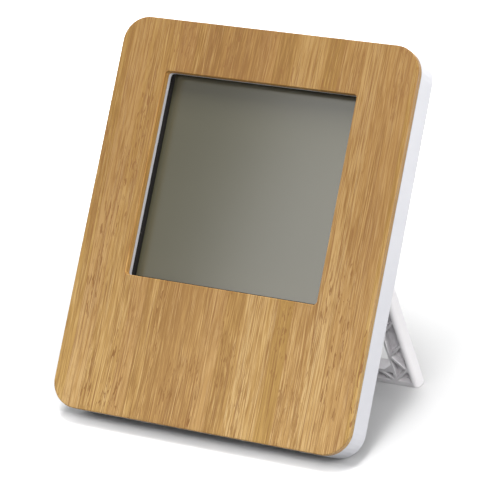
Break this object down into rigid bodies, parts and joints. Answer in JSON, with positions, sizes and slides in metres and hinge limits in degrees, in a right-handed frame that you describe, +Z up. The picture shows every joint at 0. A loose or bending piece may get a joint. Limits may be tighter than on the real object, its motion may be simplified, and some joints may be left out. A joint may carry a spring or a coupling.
{
  "type": "weather station",
  "caption": "Desk weather station with a bamboo front, a square display window, a slim white case and a fold-out ribbed stand; battery door and push buttons on the back.",
  "frame": {"origin": "middle of the footprint's bounding box, on the table", "axes": "+X to the right seen from the front, +Y from the front to the back, +Z up"},
  "size_m": [0.1, 0.0796, 0.1186],
  "materials": {
    "bamboo": "oiled laminated bamboo, grain along the height",
    "black_foam": "black foam gasket",
    "black_plastic": "moulded black",
    "black_rubber": "striped conducting rubber",
    "black_wire": "black sleeve",
    "board": "green coated glass fibre",
    "cell_wrap": "plain printed sleeve",
    "display": "blank grey-green display under its front polariser",
    "glass": "clear cell glass",
    "metal": "nickel-plated steel",
    "red_wire": "red sleeve",
    "reflector": "satin reflector film",
    "tape": "double-sided tape",
    "white_plastic": "fine satin moulding"
  },
  "bodies": {
    "case": {"bamboo_panel": "bamboo", "battery_wire_negative": "black_wire", "battery_wire_positive": "red_wire", "board_screw_lower_left": "metal", "board_screw_lower_right": "metal", "board_screw_upper_left": "metal", "board_screw_upper_right": "metal", "buzzer": "black_plastic", "capacitor": "black_plastic", "case_screw_foot_left": "metal", "case_screw_foot_right": "metal", "case_screw_top_left": "metal", "case_screw_top_right": "metal", "cell_lower": "cell_wrap", "cell_upper": "cell_wrap", "chip_blob": "black_plastic", "circuit_board": "board", "contact_bridge": "metal", "contact_plate_negative": "metal", "contact_plate_positive": "metal", "contact_spring_bridge": "metal", "contact_spring_negative": "metal", "crystal": "metal", "display_gasket": "black_foam", "front_frame": "white_plastic", "humidity_sensor": "white_plastic", "lcd_front_glass": "glass", "lcd_front_polariser": "display", "lcd_rear_glass": "glass", "lcd_reflector": "reflector", "panel_tape_lower": "tape", "panel_tape_upper": "tape", "rear_case": "white_plastic", "switch_down": "black_plastic", "switch_mode": "black_plastic", "switch_set": "black_plastic", "switch_unit": "black_plastic", "switch_up": "black_plastic", "temperature_sensor": "black_plastic", "zebra_strip": "black_rubber"},
    "stand": {"stand": "white_plastic"},
    "battery_door": {"battery_door": "white_plastic"},
    "button_mode": {"button_mode": "white_plastic"},
    "button_set": {"button_set": "white_plastic"},
    "button_up": {"button_up": "white_plastic"},
    "button_down": {"button_down": "white_plastic"},
    "button_unit": {"button_unit": "white_plastic"}
  },
  "joints": [
    {"name": "stand_fold", "type": "hinge", "parent": "case", "child": "stand", "pos_m": [0, 0.0096, 0.06958], "axis": [1, 0, 0], "range_deg": [-49.22, 0]},
    {"name": "battery_door_slide", "type": "slide", "parent": "case", "child": "battery_door", "axis": [0, 0.4586, 0.8886], "range_m": [0, 0.006]},
    {"name": "button_mode_press", "type": "slide", "parent": "case", "child": "button_mode", "axis": [0, -0.8886, 0.4586], "range_m": [0, 0.0005], "stiffness_N_per_m": 300},
    {"name": "button_set_press", "type": "slide", "parent": "case", "child": "button_set", "axis": [0, -0.8886, 0.4586], "range_m": [0, 0.0005], "stiffness_N_per_m": 300},
    {"name": "button_up_press", "type": "slide", "parent": "case", "child": "button_up", "axis": [0, -0.8886, 0.4586], "range_m": [0, 0.0005], "stiffness_N_per_m": 300},
    {"name": "button_down_press", "type": "slide", "parent": "case", "child": "button_down", "axis": [0, -0.8886, 0.4586], "range_m": [0, 0.0005], "stiffness_N_per_m": 300},
    {"name": "button_unit_press", "type": "slide", "parent": "case", "child": "button_unit", "axis": [0, -0.8886, 0.4586], "range_m": [0, 0.0005], "stiffness_N_per_m": 300}
  ]
}
